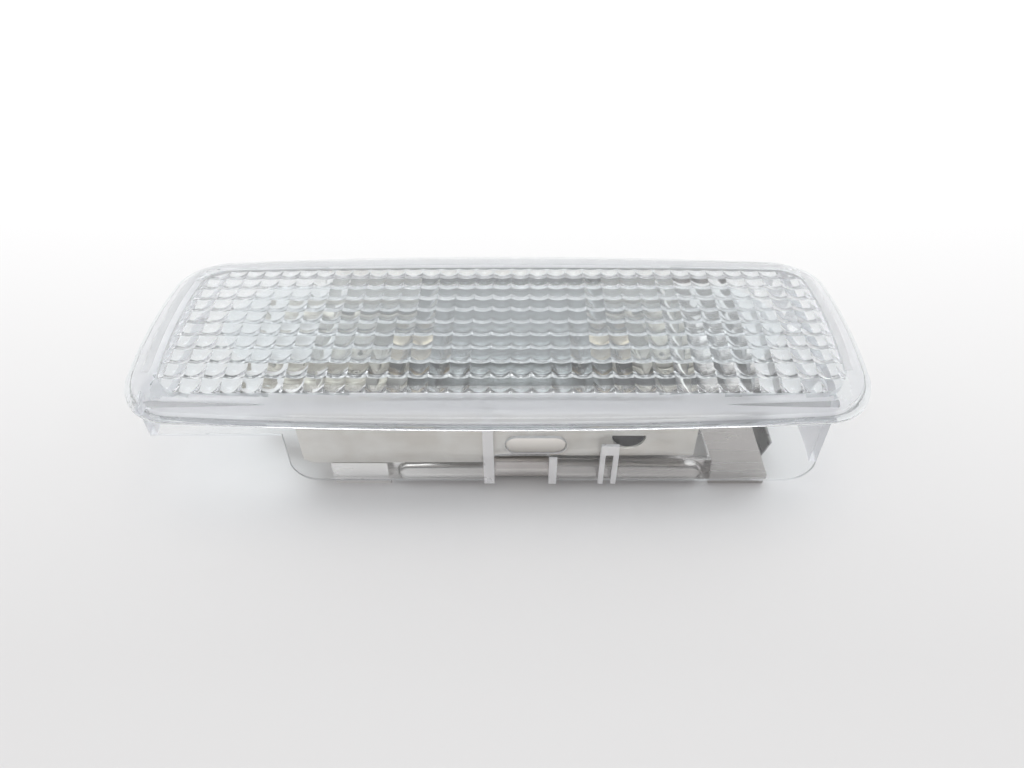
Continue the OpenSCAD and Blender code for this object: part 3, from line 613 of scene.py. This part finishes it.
# Each face takes its finish from where it lies and from the way it looks. Heights are counted
# from face_z0, the lower rim of the lip.
flat_on = 0.93
skirt_side = 19
skirt_end = 58
front_lip_y = -21.5
smallest_end = 15
for face in moulding.data.polygons:
    x, y, z = face.center / MM
    lean_x, lean_y, lean_z = (abs(value) for value in face.normal)
    outside_optics = abs(y + optic_y) > optic_w / 2 or abs(x - optic_x) > optic_l / 2 - 0.4
    faces_inward = x * face.normal.x + y * face.normal.y < 0
    under_margin = face.normal.z < -0.5 and z > face_z0 + 0.2 and outside_optics
    plinth_side = (z > face_z0 + 1 and lean_z < 0.2 and abs(y) < skirt_side
                   and abs(x) < skirt_end)
    inner_lip = (face_z0 + 0.1 < z < lamp_h - 1.6 and lean_z < 0.4
                 and not plinth_side and outside_optics and faces_inward)
    wall_side = lean_y > flat_on and box_y - wall - 0.2 < abs(y) < box_y + 0.2
    wall_edge = z < face_z0 and lean_y < flat_on
    rib_face = z < face_z0 - 1 and abs(y) > box_y + 0.1
    end_face = lean_x > flat_on and face.area > smallest_end * MM * MM and z < face_z0
    finish_here = clear_plastic
    if end_face:
        finish_here = cloudy
    elif wall_edge or rib_face:
        finish_here = wall_edge_plastic
    # Inward faces of the lip beyond the box walls: painted shade.
    elif inner_lip and abs(y) > box_y + 1:
        finish_here = inner_lip_painted_shade
    elif under_margin or plinth_side or inner_lip or z > cloudy_from and wall_side:
        finish_here = cloudy
    elif z < face_z0 - 0.1:
        finish_here = wall_plastic
    # Front face of the lip: painted shade.
    elif y < front_lip_y and lean_z < 0.7:
        finish_here = front_lip_painted_shade
    face.material_index = finishes.index(finish_here)
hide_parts("lens_housing")
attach(moulding, "lamp")

# Carrier. Tin-plated sheet steel, blanked and folded up along both sides, with a window for
# the reflector. The plating has a dull grey bloom and fine rolling lines along the lamp.


def finish(piece, name, material, body="lamp"):
    """Shades a fine piece and puts it in the place of its CAD piece."""
    piece.data.polygons.foreach_set("use_smooth", [True] * len(piece.data.polygons))
    piece.data.set_sharp_from_angle(angle=math.radians(32))
    piece.data.materials.clear()
    piece.data.materials.append(material)
    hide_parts(name)
    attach(piece, body)


def eased(name, rounding, material, body="lamp"):
    """Copy of a CAD piece with the edges rounded as far as blanked sheet edges are."""
    source = nodes[name]
    bm = bmesh.new()
    bm.from_mesh(source.data)
    bmesh.ops.remove_doubles(bm, verts=bm.verts, dist=0.001 * MM)
    bmesh.ops.dissolve_limit(bm, angle_limit=math.radians(1), verts=bm.verts, edges=bm.edges)
    sharp = [e for e in bm.edges if e.is_manifold and e.calc_face_angle(0) > math.radians(28)]
    bmesh.ops.bevel(bm, geom=sharp, offset=rounding * MM, segments=2, profile=0.5,
                    affect="EDGES", clamp_overlap=True)
    piece = new_piece(name + "_fine", bm)
    piece.matrix_world = source.matrix_world.copy()
    finish(piece, name, material, body)
    return piece


tinned, tree, shader = make_material("tinned_sheet", (0.9, 0.87, 0.82), 0.75, 0.42)
add_grain(tree, shader, (0.5, 0.36, 0.52), (0.15, (0.86, 0.82, 0.76), (0.99, 0.97, 0.93)),
          (6, 0.002), (0.07, 1, 1))
carrier = eased("carrier", 0.1, tinned)

# Gradient. A second node group carries a surface from one colour to another along a direction.
# It paints shade on the carrier, darker towards its floor, and later paints reflection and shade
# on the bracket along the lamp and light on the table, whiter from front to back.
gradient_group = bpy.data.node_groups.new("gradient", "ShaderNodeTree")
for name, kind, value in (
        ("Along", "NodeSocketVector", (1, 0, 0)), ("Start", "NodeSocketFloat", 0),
        ("End", "NodeSocketFloat", 1), ("First", "NodeSocketColor", (0, 0, 0, 1)),
        ("Last", "NodeSocketColor", (1, 1, 1, 1))):
    gradient_group.interface.new_socket(name, in_out="INPUT",
                                        socket_type=kind).default_value = value
gradient_group.interface.new_socket("Colour", in_out="OUTPUT", socket_type="NodeSocketColor")
given = gradient_group.nodes.new("NodeGroupInput")
made = gradient_group.nodes.new("NodeGroupOutput")
place = gradient_group.nodes.new("ShaderNodeTexCoord")
reach = gradient_group.nodes.new("ShaderNodeVectorMath")
reach.operation = "DOT_PRODUCT"
gradient_group.links.new(place.outputs["Object"], reach.inputs[0])
gradient_group.links.new(given.outputs["Along"], reach.inputs[1])
progress = gradient_group.nodes.new("ShaderNodeMapRange")
gradient_group.links.new(reach.outputs["Value"], progress.inputs["Value"])
gradient_group.links.new(given.outputs["Start"], progress.inputs["From Min"])
gradient_group.links.new(given.outputs["End"], progress.inputs["From Max"])
colours = gradient_group.nodes.new("ShaderNodeMix")
colours.data_type = "RGBA"
gradient_group.links.new(progress.outputs["Result"], colours.inputs[0])
gradient_group.links.new(given.outputs["First"], colours.inputs[6])
gradient_group.links.new(given.outputs["Last"], colours.inputs[7])
gradient_group.links.new(colours.outputs[2], made.inputs["Colour"])


def add_gradient(tree, shader, along, start, end, first, last):
    """Colours the surface from one colour to another along a direction, from start to end mm."""
    gradient = tree.nodes.new("ShaderNodeGroup")
    gradient.node_tree = gradient_group
    gradient.inputs["Along"].default_value = along
    gradient.inputs["Start"].default_value = start * MM
    gradient.inputs["End"].default_value = end * MM
    gradient.inputs["First"].default_value = (*first, 1)
    gradient.inputs["Last"].default_value = (*last, 1)
    tree.links.new(gradient.outputs["Colour"], shader.inputs["Base Color"])


# The carrier's floor and latch pad take a darker finish that darkens further towards the floor:
# painted shade under the lens. The inside of its rear wall is pale: painted light. Heights and
# depths are in mm of the frame.
floor_top = 9
rear_y = 16
pad_y = -17.6
sheet_flat_on = 0.9
# Painted shade: dark on the floor and the latch pad, and darker still towards the floor.
carrier_painted_shade, tree, shader = make_material("tinned_sheet_painted_shade", (0.5, 0.48, 0.45), 0.4, 0.5)
add_grain(tree, shader, (0.5, 0.42, 0.58), stretch=(0.1, 1, 1))
add_gradient(tree, shader, (0, 0, 1), 8.5, 12.5, (0.4, 0.38, 0.35), (0.98, 0.95, 0.9))
# The pale inside of the rear wall is painted light.
rear_wall_painted_light, tree, shader = make_material("tinned_sheet_rear_painted_light", (0.99, 0.985, 0.97), 0.05, 0.5)
add_grain(tree, shader, (0.5, 0.42, 0.58), stretch=(0.1, 1, 1))
finishes = [tinned, carrier_painted_shade, rear_wall_painted_light]
carrier.data.materials.append(carrier_painted_shade)
carrier.data.materials.append(rear_wall_painted_light)
for face in carrier.data.polygons:
    x, y, z = face.center / MM
    finish_here = tinned
    # Inside of the rear wall: painted light.
    if face.normal.y < -sheet_flat_on and y > rear_y:
        finish_here = rear_wall_painted_light
    # Floor and latch pad: painted shade.
    elif face.normal.z > sheet_flat_on and z < floor_top or y < pad_y:
        finish_here = carrier_painted_shade
    face.material_index = finishes.index(finish_here)

# Reflector. Bright rolled aluminium, bent to a parabola under the bulb, with flared end walls.
# It lies in the carrier's window and throws the light of the bulb up through the lens.
bright, tree, shader = make_material("bright_sheet", (0.36, 0.37, 0.37), 1, 0.15)
add_grain(tree, shader, (0.3, 0.1, 0.2), (0.08, (0.3, 0.31, 0.31), (0.42, 0.43, 0.43)),
          (5, 0.004), (0.05, 1, 1))
eased("reflector", 0.06, bright)

# Festoon bulb. A glass tube with blown shoulders, two nickel-plated caps crimped and cemented
# over its necks, and a coiled tungsten filament between two thin leads.
bulb_x = 2.1
bulb_z = 12.4
bulb_l = 43.7
cap_l = 8
tube_half = bulb_l / 2 - cap_l
glass_r = 5.25
glass_t = 0.6
neck_r = 3.6
shoulder = 3.4
shoulder_steps = 12
neck_l = 2


def lathe(profile, steps=64):
    """Closed solid turned about the bulb's axis from (along, radius) points."""
    bm = bmesh.new()
    rings = []
    for along, radius in profile:
        if radius == 0:
            rings.append([bm.verts.new((bulb_x + along, 0, bulb_z))])
            continue
        rings.append([bm.verts.new((bulb_x + along,
                                    radius * math.cos(math.radians(360 * i / steps)),
                                    bulb_z + radius * math.sin(math.radians(360 * i / steps))))
                      for i in range(steps)])
    for near, far in zip(rings, rings[1:] + rings[:1]):
        if len(near) == len(far) == 1:
            continue
        for i in range(steps):
            k = (i + 1) % steps
            loop = [near[i % len(near)], near[k % len(near)], far[k % len(far)], far[i % len(far)]]
            bm.faces.new(list(dict.fromkeys(loop)))
    bmesh.ops.recalc_face_normals(bm, faces=bm.faces)
    return bm


def glass_half(inset):
    """Half of the tube's outline from its widest place out to the neck."""
    r = glass_r - inset
    n = neck_r - inset
    start = tube_half - shoulder
    turn_end = math.degrees(math.acos(n / r))
    points = []
    for i in range(shoulder_steps + 1):
        turn = math.radians(turn_end * i / shoulder_steps)
        points.append((start + r * math.sin(turn), r * math.cos(turn)))
    return points + [(tube_half + neck_l - inset, n), (tube_half + neck_l - inset, 0)]


outer = [(-x, r) for x, r in reversed(glass_half(0))] + glass_half(0)
inner = [(-x, r) for x, r in reversed(glass_half(glass_t))] + glass_half(glass_t)
glass_mesh = lathe(outer)
bore = lathe(inner)
bmesh.ops.reverse_faces(bore, faces=bore.faces)
bore_mesh = bpy.data.meshes.new("bore")
bore.to_mesh(bore_mesh)
bore.free()
glass_mesh.from_mesh(bore_mesh)
bpy.data.meshes.remove(bore_mesh)
bulb_glass = new_piece("glass_tube", glass_mesh)
bulb_glass.data.transform(Matrix.Scale(MM, 4))
glass, tree, shader = make_material("bulb_glass_finish", (0.97, 0.98, 0.98), 0, 0.01)
shader.inputs["Transmission Weight"].default_value = 1
shader.inputs["IOR"].default_value = 1.5
add_grain(tree, shader, (0.2, 0.005, 0.04))
let_lamps_through(glass, (0.94, 0.95, 0.95))
finish(bulb_glass, "bulb_glass", glass)

# The caps are coloured darker and browner than bright nickel: painted shade.
bulb_cap_painted_shade, tree, shader = make_material("nickel_cap_painted_shade", (0.55, 0.45, 0.32), 1, 0.3)
add_grain(tree, shader, (1.5, 0.22, 0.42), (0.4, (0.45, 0.35, 0.24), (0.64, 0.54, 0.4)),
          stretch=(1, 0.3, 0.3))
cap_r = 4.2
cap_wall = 0.3
point_r = 1.5
point_l = 2.6
tip = bulb_l / 2
tip_wall = 0.7
crimp_x = tube_half + 1.4
crimp_half = 0.2
crimp_depth = 0.12
cap_mouth = [(tube_half + 0.1, cap_r - cap_wall), (tube_half, cap_r - cap_wall / 2),
             (tube_half + 0.1, cap_r)]
cap_crimp = [(crimp_x - crimp_half, cap_r), (crimp_x, cap_r - crimp_depth),
             (crimp_x + crimp_half, cap_r)]
cap_cone = [(tip - point_l - 0.3, cap_r), (tip - point_l, cap_r - 0.1),
            (tip - 0.35, point_r + 0.2), (tip - 0.1, point_r - 0.1), (tip, point_r - 0.5)]
cap_inside = [(tip, 0), (tip - tip_wall, 0), (tip - tip_wall, point_r - 0.1),
              (tip - point_l - 0.2, cap_r - cap_wall)]
cap_outline = cap_mouth + cap_crimp + cap_cone + cap_inside
for name, side in (("bulb_cap_left", -1), ("bulb_cap_right", 1)):
    cap = new_piece(name + "_fine", lathe([(side * x, r) for x, r in cap_outline]))
    cap.data.transform(Matrix.Scale(MM, 4))
    finish(cap, name, bulb_cap_painted_shade)

tungsten, tree, shader = make_material("tungsten_wire", (0.2, 0.2, 0.21), 1, 0.4)
add_grain(tree, shader, (8, 0.3, 0.5))
coil_half = 0.505 * tube_half
coil_r = 0.42
wire_r = 0.07
turns = 40
per_turn = 14
around = 6
coil_rings = []
for i in range(turns * per_turn + 1):
    share = i / (turns * per_turn)
    turn = 2 * math.pi * i / per_turn
    centre = Vector(((2 * share - 1) * (coil_half - wire_r), coil_r * math.cos(turn),
                     coil_r * math.sin(turn)))
    out = Vector((0, math.cos(turn), math.sin(turn)))
    coil_rings.append([
        centre + out * (wire_r * math.cos(a)) + Vector((wire_r * math.sin(a), 0, 0))
        + Vector((bulb_x, 0, bulb_z))
        for a in (2 * math.pi * k / around for k in range(around))])
coil = closed_skin(coil_rings)
bmesh.ops.recalc_face_normals(coil, faces=coil.faces)
coil_piece = new_piece("coiled_filament", coil)
coil_piece.data.transform(Matrix.Scale(MM, 4))
finish(coil_piece, "filament", tungsten)

lead, tree, shader = make_material("nickel_lead", (0.6, 0.58, 0.55), 1, 0.35)
add_grain(tree, shader, (6, 0.28, 0.45))
eased("filament_leads", 0.04, lead)

# Contacts. Springy bronze strip, tin plated so that it looks pale grey, blanked and bent, with
# a hole in each upright leaf for the bulb's point. Each is riveted down at its foot.
# Their colour is darkened well below pale tin: painted shade under the lens.
contact_bronze_painted_shade, tree, shader = make_material("plated_bronze_painted_shade", (0.42, 0.39, 0.34), 1, 0.32)
add_grain(tree, shader, (2, 0.25, 0.42), (0.5, (0.34, 0.31, 0.26), (0.5, 0.47, 0.42)),
          (8, 0.003), (0.1, 1, 1))
eased("contact_left", 0.08, contact_bronze_painted_shade)
eased("contact_right", 0.08, contact_bronze_painted_shade)

# Terminals. Tinned brass blades with chamfered tips and a detent hole, each one blank with the
# strip that runs back to its contact.
# Their colour, and the rivets', is darkened well below bright tin: painted shade under the lens.
brass_painted_shade, tree, shader = make_material("tinned_brass_painted_shade", (0.4, 0.37, 0.31), 1, 0.3)
add_grain(tree, shader, (1.5, 0.24, 0.4), (0.3, (0.32, 0.29, 0.24), (0.47, 0.44, 0.38)),
          (6, 0.004), (0.05, 1, 1))
eased("terminal_left", 0.1, brass_painted_shade)
eased("terminal_right", 0.1, brass_painted_shade)
eased("contact_rivets", 0.08, brass_painted_shade)

# Insulating sheet and washer. Black pressed fibre board, punched to shape, with a faint grain.
# The sheet lies under the live strip, with a lip that stands up behind the hole in the carrier.
fibre, tree, shader = make_material("black_fibre", (0.035, 0.035, 0.04), 0, 0.55)
add_grain(tree, shader, (1, 0.5, 0.6), (3, (0.025, 0.025, 0.028), (0.06, 0.06, 0.065)), (5, 0.02))
eased("insulator", 0.08, fibre)
eased("insulator_washer", 0.08, fibre)

# Bracket. Nickel-plated sheet steel, pressed and folded, with a rolled bead along each long
# edge. Its surface is brighter than the carrier's and has faint drawing lines. Its colour runs
# from near white at the left foot to grey at the right: painted reflection and shade.
bracket_steel_painted_light, tree, shader = make_material("plated_steel_painted_light", (0.8, 0.78, 0.76), 0.85, 0.28)
add_grain(tree, shader, (0.3, 0.2, 0.34), None, (4, 0.001), (0.08, 1, 1))
# Near white at the left foot, grey at the right: painted reflection and shade.
add_gradient(tree, shader, (1, 0, 0), -18, 4, (0.98, 0.965, 0.95), (0.6, 0.575, 0.56))
eased("bracket", 0.12, bracket_steel_painted_light)

# Leaf spring. Hardened strip, blued grey, bent at the foot and at the knee. It is tucked into the
# bracket and rocks on its foot, so it rides on a body of its own.
sprung, tree, shader = make_material("spring_strip", (0.37, 0.37, 0.38), 1, 0.32)
add_grain(tree, shader, (1, 0.25, 0.42), (0.3, (0.3, 0.3, 0.31), (0.44, 0.44, 0.44)),
          stretch=(1, 0.1, 1))
eased("leaf_spring", 0.1, sprung, "spring")

# Table and light. A pale table top whose colour turns white towards the back: painted light
# from behind. It lies under a wide soft lamp.
# The surround is light grey in front of the lamp and white behind it, which gives the clear
# plastic something to show.
table_half = 3000
table_bm = bmesh.new()
bmesh.ops.create_grid(table_bm, x_segments=1, y_segments=1, size=table_half * MM)
table = new_piece("table", table_bm)
table_painted_light, tree, shader = make_material("table_painted_light", (0.78, 0.775, 0.77), 0, 0.6)
# Whiter towards the back: painted light.
add_gradient(tree, shader, (0, 1, 0), -50, 120, (0.7, 0.695, 0.695), (0.97, 0.97, 0.97))
table.data.materials.append(table_painted_light)

world = bpy.data.worlds.new("studio")
scene.world = world
world.use_nodes = True
tree = world.node_tree
place = tree.nodes.new("ShaderNodeTexCoord")
axes = tree.nodes.new("ShaderNodeSeparateXYZ")
tree.links.new(place.outputs["Generated"], axes.inputs["Vector"])
turn_back = tree.nodes.new("ShaderNodeMapRange")
turn_back.inputs["From Min"].default_value = -0.9
turn_back.inputs["From Max"].default_value = 0.6
tree.links.new(axes.outputs["Y"], turn_back.inputs["Value"])
sky = tree.nodes.new("ShaderNodeMix")
sky.data_type = "RGBA"
sky.inputs[6].default_value = (0.57, 0.565, 0.57, 1)
sky.inputs[7].default_value = (1, 1, 1, 1)
tree.links.new(turn_back.outputs["Result"], sky.inputs[0])
tree.links.new(sky.outputs[2], tree.nodes["Background"].inputs["Color"])
tree.nodes["Background"].inputs["Strength"].default_value = 1

softbox_place = Vector((0, 200, 900)) * MM
softbox_light = bpy.data.lights.new("overhead", "AREA")
softbox_light.shape = "RECTANGLE"
softbox_light.size = 700 * MM
softbox_light.size_y = 500 * MM
softbox_light.energy = 3
softbox = bpy.data.objects.new("overhead", softbox_light)
softbox.location = softbox_place
softbox.rotation_mode = "QUATERNION"
softbox.rotation_quaternion = (-softbox_place).to_track_quat("-Z", "Y")
scene.collection.objects.link(softbox)

scene.view_settings.view_transform = "Standard"
